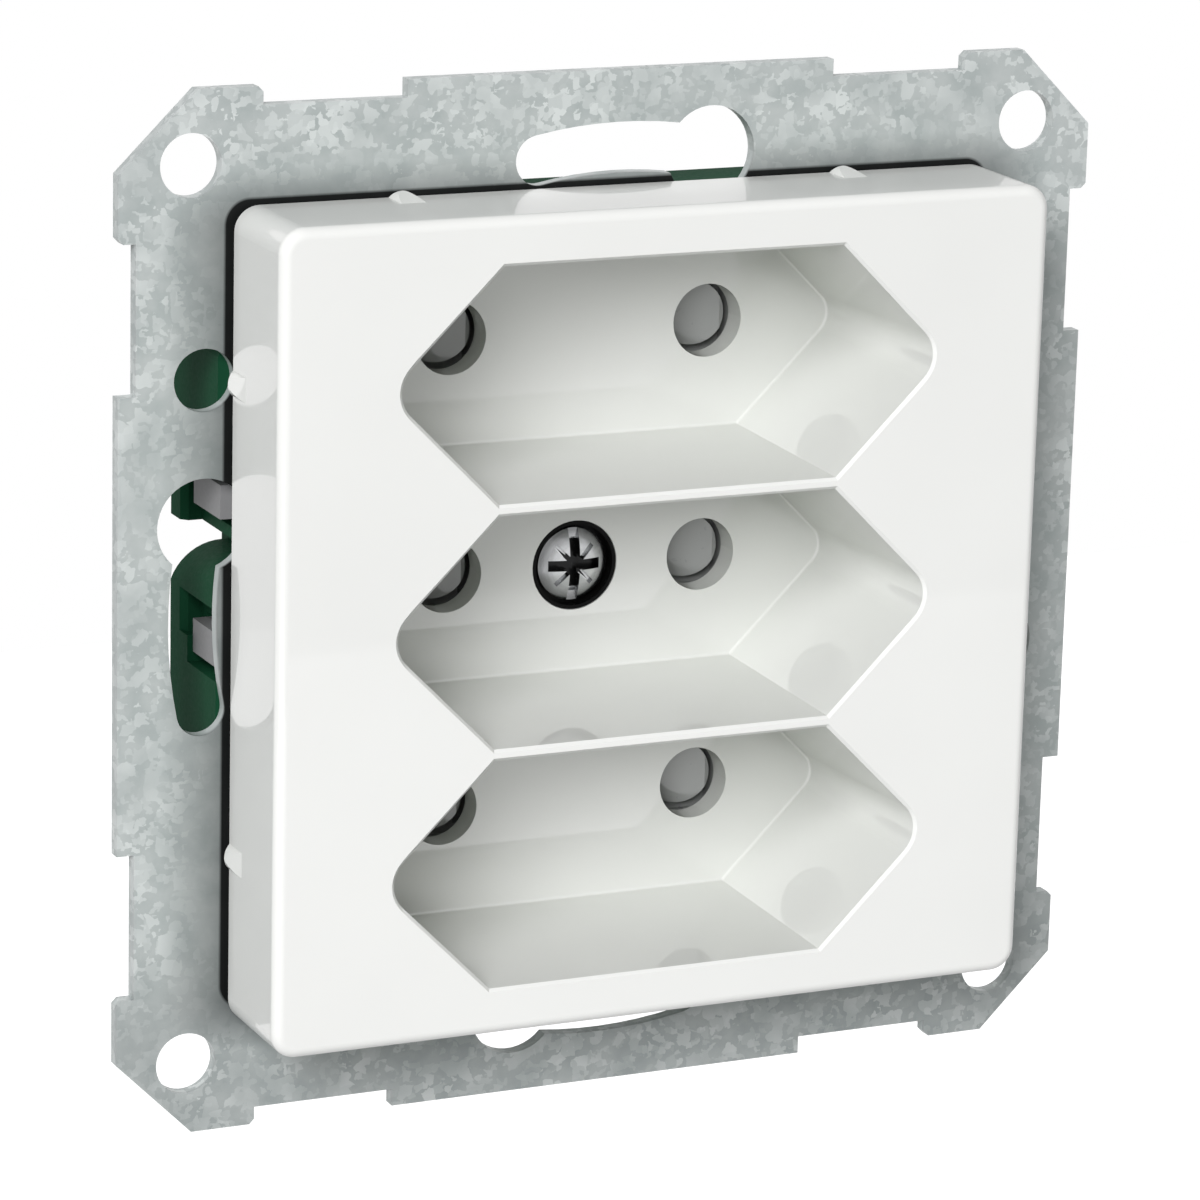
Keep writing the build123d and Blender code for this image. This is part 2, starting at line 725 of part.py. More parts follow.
# A contact rail, one brass strip with two spring leaves at each pin
def make_rail(side):
    strip_inner = side * (pin_x + leaf_root)
    with BuildPart() as rail:
        with BuildSketch(Plane.YZ.offset(strip_inner)):
            with Locations((strip_back - rail_width / 2, 0)):
                Rectangle(rail_width, 2 * (row_pitch + rail_over))
            with Locations((strip_back - pad_width / 2, terminal_z)):
                Rectangle(pad_width, 2 * pad_half_z)
        extrude(amount=side * strip_t)
        bend = (
            (leaf_root, strip_back),
            (leaf_root, carrier_back + leaf_root_y),
            (leaf_pinch, carrier_back + leaf_pinch_y + clip_width / 2 + fit_clear),
            (leaf_pinch, carrier_back + leaf_pinch_y - clip_width / 2 - fit_clear),
            (leaf_mouth, carrier_back + leaf_mouth_y),
        )
        leaf = bend + tuple((x + strip_t, y) for x, y in reversed(bend))
        for row in rows:
            with BuildSketch(level(row - leaf_half_z)):
                Polygon(*[(side * pin_x + x, y) for x, y in leaf])
                Polygon(*[(side * pin_x - x, y) for x, y in leaf])
            extrude(amount=2 * leaf_half_z)
            with BuildSketch(level(row + leaf_half_z)):
                with Locations((side * pin_x, strip_back - rail_width / 2)):
                    Rectangle(2 * (leaf_root + strip_t), rail_width)
            extrude(amount=strip_t)
    return rail.part


# A steel clip that presses the two leaves together from outside
def make_clip(side, row):
    inner = leaf_pinch + strip_t + clip_gap
    low = row - leaf_half_z - clip_over - clip_t
    with BuildPart() as clip:
        with BuildSketch(face(carrier_back + leaf_pinch_y + clip_width / 2)):
            with Locations((side * pin_x, low + clip_leg / 2)):
                Rectangle(2 * (inner + clip_t), clip_leg)
            with Locations((side * pin_x, low + clip_t + clip_leg / 2)):
                Rectangle(2 * inner, clip_leg, mode=Mode.SUBTRACT)
        extrude(amount=clip_width)
    return clip.part


# A terminal spring, a bent strip with one tongue per wire
terminal_top = channel_floor - terminal_top_gap


def make_terminal_spring(side):
    leg_x = channel_inner + terminal_leg_gap + terminal_spring_t / 2
    with BuildPart() as spring:
        with BuildSketch(level(terminal_z - terminal_spring_half_z)):
            with BuildLine() as bent:
                FilletPolyline(
                    (side * leg_x, terminal_top - terminal_leg),
                    (side * leg_x, terminal_top),
                    (side * (leg_x + terminal_reach_x), terminal_top - terminal_reach_y),
                    radius=terminal_bend_r,
                )
            trace(bent.wires(), terminal_spring_t)
        extrude(amount=2 * terminal_spring_half_z)
        with BuildSketch(face(terminal_top)):
            with Locations((side * (leg_x + terminal_reach_x), terminal_z)):
                Rectangle(2 * terminal_slit_l, terminal_slit)
        extrude(amount=terminal_leg, mode=Mode.SUBTRACT)
    return spring.part


# A release lever, pressed from behind to free the two wires of its terminal
def make_lever(side):
    bar_back = channel_floor - lever_seat_gap
    with BuildPart() as lever:
        with BuildSketch(face(base_back + lever_out)):
            with Locations((side * lever_x, terminal_z)):
                Rectangle(lever_stem_w, lever_stem_h)
        extrude(amount=base_back + lever_out - bar_back + lever_bar_t)
        fillet(lever.faces().sort_by(Axis.Y)[-1].edges(), lever_edge_r)
        with BuildSketch(face(bar_back)):
            with Locations((side * lever_x, terminal_z)):
                Rectangle(lever_stem_w, lever_bar_h)
        extrude(amount=lever_bar_t)
        nose_x = side * (lever_x + lever_stem_w / 2 - lever_nose_w / 2)
        with BuildSketch(face(bar_back - lever_bar_t)):
            with Locations((nose_x, terminal_z)):
                Rectangle(lever_nose_w, lever_bar_h)
        extrude(amount=lever_nose_l)
    return lever.part


pieces = [
    mounting_plate.part, plate_rivets.part, cover.part, screw_bush.part, cover_screw.part,
    cover_nut.part, carrier.part, carrier_screws.part, base_housing.part,
]
for name, row in zip(row_names, rows):
    shutter = make_shutter(row)
    shutter.label = f"shutter_{name}"
    spring = make_spring(row)
    spring.label = f"shutter_spring_{name}"
    pieces += [shutter, spring]
for pole, side in (("line", -1), ("neutral", 1)):
    rail = make_rail(side)
    rail.label = f"{pole}_contact_rail"
    terminal_spring = make_terminal_spring(side)
    terminal_spring.label = f"{pole}_terminal_spring"
    lever = make_lever(side)
    lever.label = f"{pole}_release_lever"
    pieces += [rail, terminal_spring, lever]
    for name, row in zip(row_names, rows):
        clip = make_clip(side, row)
        clip.label = f"{pole}_clip_{name}"
        pieces.append(clip)

os.makedirs("parts", exist_ok=True)
for piece in pieces:
    export_step(piece, f"parts/{piece.label}.step")
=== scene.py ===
import math
import bmesh
import bpy
import numpy as np
from mathutils import Matrix, Vector


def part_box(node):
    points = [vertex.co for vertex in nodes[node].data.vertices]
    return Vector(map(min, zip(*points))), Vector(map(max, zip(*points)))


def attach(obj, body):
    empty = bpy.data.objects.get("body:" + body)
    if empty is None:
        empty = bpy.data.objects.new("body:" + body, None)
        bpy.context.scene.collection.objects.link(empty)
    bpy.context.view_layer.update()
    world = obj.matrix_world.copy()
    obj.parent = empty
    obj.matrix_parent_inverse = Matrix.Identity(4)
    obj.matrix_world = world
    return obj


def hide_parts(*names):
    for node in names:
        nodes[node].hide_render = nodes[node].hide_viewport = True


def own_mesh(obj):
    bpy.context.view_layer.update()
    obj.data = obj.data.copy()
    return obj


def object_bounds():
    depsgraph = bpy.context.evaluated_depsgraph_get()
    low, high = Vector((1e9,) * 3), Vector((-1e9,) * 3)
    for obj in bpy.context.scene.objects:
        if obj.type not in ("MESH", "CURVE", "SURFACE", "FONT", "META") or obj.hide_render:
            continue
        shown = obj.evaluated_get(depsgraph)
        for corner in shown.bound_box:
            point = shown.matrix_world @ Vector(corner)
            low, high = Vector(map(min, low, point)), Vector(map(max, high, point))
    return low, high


# A flush wall socket with three plug places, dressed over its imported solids.
# Lengths are in metres, and noise and cell scales are in cells per metre.
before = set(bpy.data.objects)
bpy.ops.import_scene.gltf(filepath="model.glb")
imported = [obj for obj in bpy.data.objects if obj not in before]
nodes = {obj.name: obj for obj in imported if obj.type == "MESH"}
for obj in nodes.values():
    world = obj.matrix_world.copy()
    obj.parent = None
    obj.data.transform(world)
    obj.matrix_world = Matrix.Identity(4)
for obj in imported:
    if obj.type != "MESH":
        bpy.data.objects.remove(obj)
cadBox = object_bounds()  # lowest and highest corner of the solids
rows = ("upper", "middle", "lower")
poles = {"line": -1, "neutral": 1}  # and the side of each, along X
print("frame loaded:", len(nodes), "nodes")

# Camera, fitted to the photograph
cameraSettings = {
    "place": (-0.14819, -0.32054, 0.09195),
    "look": (0.40499, 0.87801, -0.25511),
    "up": (0.08314, 0.24250, 0.96658),
    "lens": 161.86,  # mm
    "sensor": 36.0,  # mm
    "clip": (0.01, 20.0),
}


def makeCamera(s):
    data = bpy.data.cameras.new("camera")
    camera = bpy.data.objects.new("camera", data)
    bpy.context.scene.collection.objects.link(camera)
    back = -Vector(s["look"]).normalized()
    right = Vector(s["up"]).cross(back).normalized()
    up = back.cross(right)
    turn = Matrix((right, up, back)).transposed()
    camera.matrix_world = Matrix.Translation(s["place"]) @ turn.to_4x4()
    data.sensor_width = s["sensor"]
    data.lens = s["lens"]
    data.clip_start, data.clip_end = s["clip"]
    bpy.context.scene.camera = camera


makeCamera(cameraSettings)
print("camera made")

# Material tools: every material is a node tree in object coordinates
noiseSpan = (0.3, 0.7)  # the levels of a noise between which most of it lies


def newMaterial(name):
    material = bpy.data.materials.new(name)
    material.use_nodes = True
    tree = material.node_tree
    return material, tree, tree.nodes["Principled BSDF"]


def addNode(tree, kind, **values):
    node = tree.nodes.new(kind)
    for key, value in values.items():
        if key in node.inputs:
            node.inputs[key].default_value = value
        else:
            setattr(node, key, value)
    return node


def feed(tree, socket, value):
    # links another node's output, or sets a plain value
    if isinstance(value, bpy.types.NodeSocket):
        tree.links.new(value, socket)
    else:
        socket.default_value = value


def objectPlace(tree):
    return addNode(tree, "ShaderNodeTexCoord").outputs["Object"]


def splitPlace(tree, place):
    axes = addNode(tree, "ShaderNodeSeparateXYZ")
    tree.links.new(place, axes.inputs[0])
    return axes.outputs


def mathNode(tree, operation, *values):
    node = addNode(tree, "ShaderNodeMath", operation=operation)
    for socket, value in zip(node.inputs, values):
        feed(tree, socket, value)
    return node.outputs[0]


def rangeNode(tree, source, low, high, outLow, outHigh):
    node = addNode(tree, "ShaderNodeMapRange")
    tree.links.new(source, node.inputs["Value"])
    ends = {"From Min": low, "From Max": high, "To Min": outLow, "To Max": outHigh}
    for name, value in ends.items():
        node.inputs[name].default_value = value
    return node.outputs[0]


def noise(tree, place, scale, detail=3.0, roughness=0.5):
    node = addNode(tree, "ShaderNodeTexNoise", Scale=scale, Detail=detail, Roughness=roughness)
    tree.links.new(place, node.inputs["Vector"])
    return node.outputs


def grey(value):
    return (value, value, value)


def ramp(tree, source, stops):
    node = addNode(tree, "ShaderNodeValToRGB")
    tree.links.new(source, node.inputs["Fac"])
    band = node.color_ramp
    while len(band.elements) < len(stops):
        band.elements.new(0.5)
    for element, (at, colour) in zip(band.elements, stops):
        element.position = at
        element.color = (*colour, 1)
    return node.outputs["Color"]


def spread(tree, source, low, high, span=noiseSpan):
    # from one colour to another over the levels of a noise
    return ramp(tree, source, [(span[0], low), (span[1], high)])


def mixColour(tree, factor, first, second, kind="MIX"):
    node = addNode(tree, "ShaderNodeMix", data_type="RGBA", blend_type=kind)
    colours = [socket for socket in node.inputs if socket.type == "RGBA"]
    for socket, value in ((node.inputs[0], factor), (colours[0], first), (colours[1], second)):
        feed(tree, socket, value)
    return [socket for socket in node.outputs if socket.type == "RGBA"][0]


def multiply(tree, first, second):
    return mixColour(tree, 1.0, first, second, "MULTIPLY")


def bump(tree, shader, source, strength, distance):
    node = addNode(tree, "ShaderNodeBump", Strength=strength, Distance=distance)
    tree.links.new(source, node.inputs["Height"])
    tree.links.new(node.outputs["Normal"], shader.inputs["Normal"])


def boxDistance(tree, place, low, high, corner, stretch=1.0):
    # rounded box distance in X and Z: length of max(|p - middle| - half + corner, 0), less the corner
    axes = splitPlace(tree, place)
    parts = []
    for axis, first, last, scale in zip(("X", "Z"), low, high, (1.0, stretch)):
        off = mathNode(tree, "ABSOLUTE", mathNode(tree, "SUBTRACT", axes[axis], (first + last) / 2))
        past = mathNode(tree, "SUBTRACT", off, (last - first) / 2 - corner)
        past = mathNode(tree, "MULTIPLY", mathNode(tree, "MAXIMUM", past, 0.0), scale)
        parts.append(mathNode(tree, "POWER", past, 2.0))
    root = mathNode(tree, "SQRT", mathNode(tree, "ADD", *parts))
    return mathNode(tree, "SUBTRACT", root, corner)


# Galvanised sheet: crisp pale flakes of zinc on a smoother grey ground, with painted shade close to the
# cover and along the low edge, and a painted shadow in the gap round the cover
galvanised = {
    "ground": ((0.355, 0.39, 0.388), (0.43, 0.46, 0.457)),  # darkest and palest
    "groundCloud": (420.0, 4.0),  # scale and detail
    "groundSpan": (0.35, 0.65),
    "flake": (0.60, 0.632, 0.627),
    "flakes": ((1150.0, 0.64), (2300.0, 0.72)),  # scale, and the share that stays ground
    "flakeEdge": 0.02,
    "flakeTones": (0.12, 0.4),  # at the two sides of that edge
    "wobble": (1100.0, 0.0007),  # scale, and how far it shifts the cells
    "clusters": (230.0, 2.0),  # scale and detail
    "clusterSpan": (0.38, 0.6),
    "clusterTone": 0.35,  # of the flakes where they are few
    "metallic": 0.08,
    "specular": 0.24,
    "roughness": (0.4, 0.28),  # of the ground and of the palest flakes
    "grain": (2600.0, 4.0),  # scale and detail
    "grainBump": (0.08, 0.0001),  # strength and depth
    "front": (-0.0009, -0.0006),  # Y of the front face, where the painted shade and shadow below hold, and where they end
    "coverLow": (-0.02742, -0.0276),  # outline of the cover on the plate, X and Z
    "coverHigh": (0.02742, 0.0276),
    "coverCorner": 0.0017,
    "gapShadowLow": (-0.02795, -0.0268),  # painted shadow in the gap round it, wider on the left
    "gapShadowHigh": (0.0274, 0.02795),
    "gapShadowSoft": (-0.00008, 0.00012),
    "gapShadowTone": 0.06,
    "shade": (0.0004, 0.0048, 0.44),  # painted shade near the cover: from, to, and the tone at the start
    "shadeStretch": 1.6,  # the painted shade above and below the cover is this much narrower
    "flakeShade": (0.0072, 0.1),  # painted shade dims the flakes towards the cover: to, and the tone at the start
    "lowShade": (-0.0285, -0.021, 0.81),  # painted shade towards the low edge: from, to, and the tone at the start
}


def zincFlakes(tree, place, s):
    # two sizes of warped cells; a cell whose random number is over its share is a flake
    wobbleScale, wobbleShift = s["wobble"]
    warp = addNode(tree, "ShaderNodeVectorMath", operation="MULTIPLY_ADD")
    tree.links.new(noise(tree, place, wobbleScale)["Color"], warp.inputs[0])
    warp.inputs[1].default_value = grey(wobbleShift)
    tree.links.new(place, warp.inputs[2])
    under, over = s["flakeTones"]
    layers = []
    for scale, share in s["flakes"]:
        cells = addNode(tree, "ShaderNodeTexVoronoi", Scale=scale, distance="CHEBYCHEV")
        tree.links.new(warp.outputs["Vector"], cells.inputs["Vector"])
        split = addNode(tree, "ShaderNodeSeparateColor")
        tree.links.new(cells.outputs["Color"], split.inputs["Color"])
        number = split.outputs["Red"]
        edge = [(share, grey(under)), (share + s["flakeEdge"], grey(over))]
        stops = [(0.0, grey(0.0)), *edge, (1.0, grey(1.0))]
        layers.append((number, ramp(tree, number, stops)))
    pattern = mixColour(tree, 1.0, layers[0][1], layers[1][1], "LIGHTEN")
    cloud = noise(tree, place, *s["clusters"])["Fac"]
    clusters = spread(tree, cloud, grey(s["clusterTone"]), grey(1.0), s["clusterSpan"])
    return multiply(tree, pattern, clusters), layers[0][0]


def frontShade(tree, place, away, s):
    # 1 on open sheet, less in the painted shadow of the gap, in the painted shade near the cover and along
    # the low edge, front face only
    shadeFrom, shadeTo, shadeTone = s["shade"]
    lowShadeFrom, lowShadeTo, lowShadeTone = s["lowShade"]
    axes = splitPlace(tree, place)
    # painted shadow in the gap between the cover and the sheet
    gapShadowDistance = boxDistance(tree, place, s["gapShadowLow"], s["gapShadowHigh"], s["coverCorner"])
    gapShadow = rangeNode(tree, gapShadowDistance, *s["gapShadowSoft"], s["gapShadowTone"], 1.0)
    # painted shade near the cover
    shade = rangeNode(tree, away, shadeFrom, shadeTo, shadeTone, 1.0)
    # painted shade along the low edge of the sheet
    low = rangeNode(tree, axes["Z"], lowShadeFrom, lowShadeTo, lowShadeTone, 1.0)
    tone = mathNode(tree, "MULTIPLY", mathNode(tree, "MULTIPLY", gapShadow, shade), low)
    front = rangeNode(tree, axes["Y"], *s["front"], 1.0, 0.0)
    change = mathNode(tree, "MULTIPLY", front, mathNode(tree, "SUBTRACT", tone, 1.0))
    return mathNode(tree, "ADD", 1.0, change)


def makeGalvanised(s):
    material, tree, shader = newMaterial("galvanised_sheet")
    place = objectPlace(tree)
    flakes, number = zincFlakes(tree, place, s)
    away = boxDistance(tree, place, s["coverLow"], s["coverHigh"], s["coverCorner"], s["shadeStretch"])
    flakeShadeTo, flakeShadeTone = s["flakeShade"]
    # painted shade dims the flakes near the cover
    flakes = multiply(tree, flakes, rangeNode(tree, away, s["shade"][0], flakeShadeTo, flakeShadeTone, 1.0))
    ground = spread(tree, noise(tree, place, *s["groundCloud"])["Fac"], *s["ground"], s["groundSpan"])
    paintedShade = frontShade(tree, place, away, s)
    colour = multiply(tree, mixColour(tree, flakes, ground, (*s["flake"], 1)), paintedShade)
    tree.links.new(colour, shader.inputs["Base Color"])
    # the painted shade also lowers the specular
    tree.links.new(mathNode(tree, "MULTIPLY", paintedShade, s["specular"]), shader.inputs["Specular IOR Level"])
    rough = spread(tree, number, grey(s["roughness"][0]), grey(s["roughness"][1]), (0.0, 1.0))
    tree.links.new(rough, shader.inputs["Roughness"])
    shader.inputs["Metallic"].default_value = s["metallic"]
    bump(tree, shader, noise(tree, place, *s["grain"])["Fac"], *s["grainBump"])
    return material


# Moulded plastics: a fine grain, a slow tone change and a gloss of their own
plastics = {
    "cover": {
        "colour": (0.775, 0.78, 0.762), "roughness": 0.32, "specular": 0.1, "coat": 0.56,
        "grain": (300.0, 0.012),  # scale, and strength of the bump
        "bounce": (0.66, 0.69, 0.64),  # the share of its light that it hands on, which keeps the wells deep
    },
    "green": {"colour": (0.009, 0.054, 0.026), "roughness": 0.55, "specular": 0.02, "grain": (3500.0, 0.1)},
    "carrier": {"colour": (0.21, 0.21, 0.215), "roughness": 0.45, "specular": 0.2, "grain": (3500.0, 0.08)},
    "shutter": {
        "colour": (0.33, 0.34, 0.335), "roughness": 0.3, "specular": 0.4, "coat": 0.3,
        "grain": (1500.0, 0.03),
    },
    "bush": {"colour": (0.006, 0.006, 0.006), "roughness": 0.25, "specular": 0.06, "grain": (3500.0, 0.05)},
    "lever": {"colour": (0.32, 0.32, 0.32), "roughness": 0.4, "specular": 0.4, "grain": (3500.0, 0.1)},
}
mouldingSettings = {
    "cloud": (60.0, 2.0),  # scale and detail of the slow tone change
    "cloudTone": 0.965,
    "roughSpread": (0.9, 1.1),
    "grainDepth": 0.00005,
    "coatRoughness": 0.02,  # the polished skin of the cover and the shutters
    "coatIor": 3.0,
}


def makePlastic(name, s, shared):
    material, tree, shader = newMaterial(name + "_plastic")
    place = objectPlace(tree)
    dull = tuple(part * shared["cloudTone"] for part in s["colour"])
    colour = spread(tree, noise(tree, place, *shared["cloud"])["Fac"], dull, s["colour"])
    if "bounce" in s:
        bounced = addNode(tree, "ShaderNodeLightPath").outputs["Is Diffuse Ray"]
        colour = multiply(tree, colour, mixColour(tree, bounced, (1, 1, 1, 1), (*s["bounce"], 1)))
    tree.links.new(colour, shader.inputs["Base Color"])
    grainScale, grainStrength = s["grain"]
    fine = noise(tree, place, grainScale)["Fac"]
    rough = spread(tree, fine, *(grey(s["roughness"] * share) for share in shared["roughSpread"]))
    tree.links.new(rough, shader.inputs["Roughness"])
    shader.inputs["Specular IOR Level"].default_value = s["specular"]
    shader.inputs["Coat Weight"].default_value = s.get("coat", 0.0)
    shader.inputs["Coat Roughness"].default_value = shared["coatRoughness"]
    shader.inputs["Coat IOR"].default_value = shared["coatIor"]
    bump(tree, shader, fine, grainStrength, shared["grainDepth"])
    return material


# Bare metals: drawn strip, turned screws and spring wire
metals = {
    "brass": {"colour": (0.72, 0.52, 0.22), "roughness": 0.28, "lines": 0.25},
    "screw": {
        "colour": (0.62, 0.63, 0.64), "roughness": 0.22, "lines": 0.08,
        # painted shade in the cross recess of the head and towards its edge
        "recess": {
            "domeRadius": 0.0059,
            "depth": 0.00007,  # below the dome, where the painted shade starts
            "cross": 0.0005,  # half the width of its arms
            "crossReach": 0.0017,
            "tick": 0.00017,  # half the width of a tick at the middle
            "tickReach": 0.0017,
            # tone of the painted shade in the recess
            "tone": 0.04,
            "rimShade": (0.0014, 0.0024, 0.35),  # painted shade towards its edge: from, to, and the tone at the edge
        },
    },
    "rivet": {"colour": (0.5, 0.5, 0.5), "roughness": 0.35, "lines": 0.15},
    "spring": {"colour": (0.6, 0.6, 0.61), "roughness": 0.22, "lines": 0.2},
}
drawnSettings = {
    "stretch": (1.0, 12.0, 1.0),
    "streaks": (900.0, 4.0, 0.6),  # scale, detail and roughness
    "streakTone": 0.8,
    "roughSpread": (1.3, 0.8),
    "depth": 0.00003,
}


def recessTone(tree, place, s):
    # painted shade in the cross and its four pointed ticks, where the metal lies below the dome of the head:
    # depth = Y - apex - (X squared + Z squared) / (2 x dome radius); a tick narrows as 1 - |along| / reach
    axes = splitPlace(tree, place)
    squares = mathNode(tree, "ADD", *(mathNode(tree, "POWER", axes[axis], 2.0) for axis in ("X", "Z")))
    dome = mathNode(tree, "MULTIPLY", squares, 0.5 / s["domeRadius"])
    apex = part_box("cover_screw")[0][1]
    depth = mathNode(tree, "SUBTRACT", axes["Y"], mathNode(tree, "ADD", dome, apex))
    deep = rangeNode(tree, depth, s["depth"], 2 * s["depth"], 0.0, 1.0)
    absX, absZ = (mathNode(tree, "ABSOLUTE", axes[axis]) for axis in ("X", "Z"))
    marks = mathNode(tree, "LESS_THAN", mathNode(tree, "MINIMUM", absX, absZ), s["cross"])
    diagonals = []
    for kind in ("ADD", "SUBTRACT"):
        slanted = mathNode(tree, "MULTIPLY", mathNode(tree, kind, axes["X"], axes["Z"]), math.sqrt(0.5))
        diagonals.append(mathNode(tree, "ABSOLUTE", slanted))
    for along, across in (diagonals, reversed(diagonals)):
        narrowed = rangeNode(tree, along, 0.0, s["tickReach"], s["tick"], 0.0)
        marks = mathNode(tree, "MAXIMUM", marks, mathNode(tree, "LESS_THAN", across, narrowed))
    marks = mathNode(tree, "MULTIPLY", marks, mathNode(tree, "LESS_THAN", absZ, s["crossReach"]))
    cut = rangeNode(tree, mathNode(tree, "MULTIPLY", deep, marks), 0.0, 1.0, 1.0, s["tone"])
    rimShadeFrom, rimShadeTo, rimShadeTone = s["rimShade"]
    # painted shade darkening the head towards its edge
    rimShade = rangeNode(tree, mathNode(tree, "SQRT", squares), rimShadeFrom, rimShadeTo, 1.0, rimShadeTone)
    return mathNode(tree, "MULTIPLY", cut, rimShade)


def makeMetal(name, s, shared):
    material, tree, shader = newMaterial(name + "_metal")
    place = objectPlace(tree)
    stretch = addNode(tree, "ShaderNodeMapping")
    stretch.inputs["Scale"].default_value = shared["stretch"]
    tree.links.new(place, stretch.inputs["Vector"])
    streaks = noise(tree, stretch.outputs["Vector"], *shared["streaks"])["Fac"]
    dark = tuple(part * shared["streakTone"] for part in s["colour"])
    colour = spread(tree, streaks, dark, s["colour"])
    if "recess" in s:
        colour = multiply(tree, colour, recessTone(tree, place, s["recess"]))
    tree.links.new(colour, shader.inputs["Base Color"])
    rough = spread(tree, streaks, *(grey(s["roughness"] * share) for share in shared["roughSpread"]))
    tree.links.new(rough, shader.inputs["Roughness"])
    shader.inputs["Metallic"].default_value = 1.0
    bump(tree, shader, streaks, s["lines"], shared["depth"])
    return material


finishes = {"galvanised": makeGalvanised(galvanised)}
for name, settings in plastics.items():
    finishes[name] = makePlastic(name, settings, mouldingSettings)
for name, settings in metals.items():
    finishes[name] = makeMetal(name, settings, drawnSettings)

nodeFinish = {
    "mounting_plate": "galvanised",
    "plate_rivets": "rivet",
    "cover": "cover",
    "screw_bush": "bush",
    "cover_screw": "screw",
    "cover_nut": "screw",
    "carrier": "carrier",
    "carrier_screws": "screw",
    "base_housing": "green",
}
for row in rows:
    nodeFinish["shutter_" + row] = "shutter"
    nodeFinish["shutter_spring_" + row] = "spring"
for pole in poles:
    nodeFinish[pole + "_contact_rail"] = "brass"
    nodeFinish[pole + "_terminal_spring"] = "spring"
    nodeFinish[pole + "_release_lever"] = "lever"
    for row in rows:
        nodeFinish[pole + "_clip_" + row] = "spring"
for node, finish in nodeFinish.items():
    for slot in nodes[node].material_slots:
        slot.material = finishes[finish]
print("materials assigned:", len(finishes))

# Springs: the solids can't give way, so these stand for them
sharpAngle = math.radians(40)


def makeSpring(name, points, faces, node):
    mesh = bpy.data.meshes.new(name)
    mesh.from_pydata(points.reshape(-1, 3).tolist(), [], faces)
    work = bmesh.new()
    work.from_mesh(mesh)
    bmesh.ops.recalc_face_normals(work, faces=work.faces)  # outward
    work.to_mesh(mesh)
    work.free()
    mesh.shade_smooth()
    mesh.set_sharp_from_angle(angle=sharpAngle)
    mesh.materials.append(finishes["spring"])
    spring = bpy.data.objects.new(name, mesh)
    bpy.context.scene.collection.objects.link(spring)
    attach(spring, "socket")
    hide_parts(node)
    return spring


coilSettings = {
    "wire": 0.00035,
    "turns": 6.5,
    "closed": 0.29,  # pitch of the end turns against that of the middle ones
    "closedTurns": 0.75,  # at each end
    "openingTurns": 0.5,  # over which the pitch then grows
    "travel": 0.0046,  # of the shutter
    "ringsPerTurn": 28,
    "ringPoints": 10,
}


def makeCoil(row, s):
    # swept circle: centre = (x, radius x cos a, radius x sin a), where x rises slowly in the end turns
    low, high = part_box("shutter_spring_" + row)
    radius = (high[2] - low[2] - s["wire"]) / 2
    turn = np.linspace(0, s["turns"], int(s["turns"] * s["ringsPerTurn"]) + 1)
    fromEnd = np.minimum(turn, s["turns"] - turn)
    opened = np.clip((fromEnd - s["closedTurns"]) / s["openingTurns"], 0, 1)
    rise = s["closed"] + (1 - s["closed"]) * opened * opened * (3 - 2 * opened)
    climb = np.concatenate(([0], np.cumsum(rise[1:] + rise[:-1])))
    angle = 2 * np.pi * turn
    outward = np.stack((0 * angle, np.cos(angle), np.sin(angle)), axis=1)
    centre = outward * radius + np.array((0, (low[1] + high[1]) / 2, (low[2] + high[2]) / 2))
    centre[:, 0] = low[0] + s["wire"] / 2 + climb / climb[-1] * (high[0] - low[0] - s["wire"])
    along = np.gradient(centre, axis=0)
    along /= np.linalg.norm(along, axis=1, keepdims=True)
    sideways = np.cross(along, outward)
    around = (2 * np.pi * np.arange(s["ringPoints"]) / s["ringPoints"])[None, :, None]
    ring = np.cos(around) * outward[:, None] + np.sin(around) * sideways[:, None]
    points = centre[:, None] + s["wire"] / 2 * ring
    index = np.arange(len(turn) * s["ringPoints"]).reshape(len(turn), -1)
    after = np.roll(index, -1, axis=1)
    quads = np.stack((index[:-1], index[1:], after[1:], after[:-1]), axis=-1).reshape(-1, 4)
    faces = quads.tolist() + [index[0].tolist(), index[-1].tolist()]
    coil = makeSpring("return_coil_" + row, points, faces, "shutter_spring_" + row)
    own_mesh(coil)


bladeSettings = {
    "thick": 0.0003,
    "bend": 0.0006,  # radius at the middle of the strip
    "lean": math.atan2(0.00495, 0.0053),  # of the tongues, from the leg
    "slit": 0.0008,
    "keep": 0.755,  # share of its height that is left under a pressed lever
    "bendSteps": 14,
    "tongueSteps": 8,
}


def patch(first, second):
    # the quads between two rows of point numbers
    return np.stack((first[:-1], first[1:], second[1:], second[:-1]), axis=-1).reshape(-1, 4)


